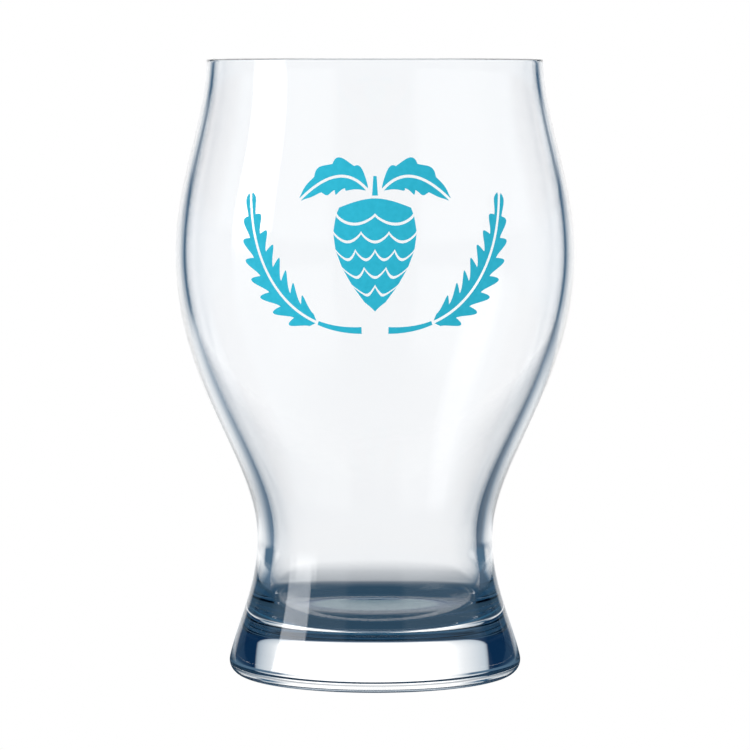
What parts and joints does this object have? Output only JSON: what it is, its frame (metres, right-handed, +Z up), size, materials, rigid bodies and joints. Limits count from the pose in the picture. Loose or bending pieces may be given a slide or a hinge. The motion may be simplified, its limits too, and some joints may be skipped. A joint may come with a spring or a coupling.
{
  "type": "footed beer glass",
  "caption": "Clear footed beer glass with a round belly, a drawn-in waist and a heavy solid foot, and a turquoise hop and barley print on its front; holds a drink.",
  "frame": {"origin": "middle of the base, on the table", "axes": "+Z up along the glass's axis, -Y towards the viewer and the print, +X to the viewer's right"},
  "size_m": [0.0906, 0.0908, 0.14],
  "materials": {
    "clear_glass": "clear, fire-polished",
    "turquoise_ink": "fired screen print, satin gloss"
  },
  "bodies": {
    "root": {"bowl": "clear_glass", "foot": "clear_glass", "print_hop_scales_1": "turquoise_ink", "print_hop_scales_2": "turquoise_ink", "print_hop_scales_3": "turquoise_ink", "print_hop_scales_4": "turquoise_ink", "print_hop_scales_5": "turquoise_ink", "print_hop_scales_6": "turquoise_ink", "print_hop_stem": "turquoise_ink", "print_leaf_left_upper": "turquoise_ink", "print_leaf_left_lower": "turquoise_ink", "print_stalk_left": "turquoise_ink", "print_grains_left_upper": "turquoise_ink", "print_grains_left_lower": "turquoise_ink", "print_leaf_right_upper": "turquoise_ink", "print_leaf_right_lower": "turquoise_ink", "print_stalk_right": "turquoise_ink", "print_grains_right_upper": "turquoise_ink", "print_grains_right_lower": "turquoise_ink"}
  },
  "joints": []
}
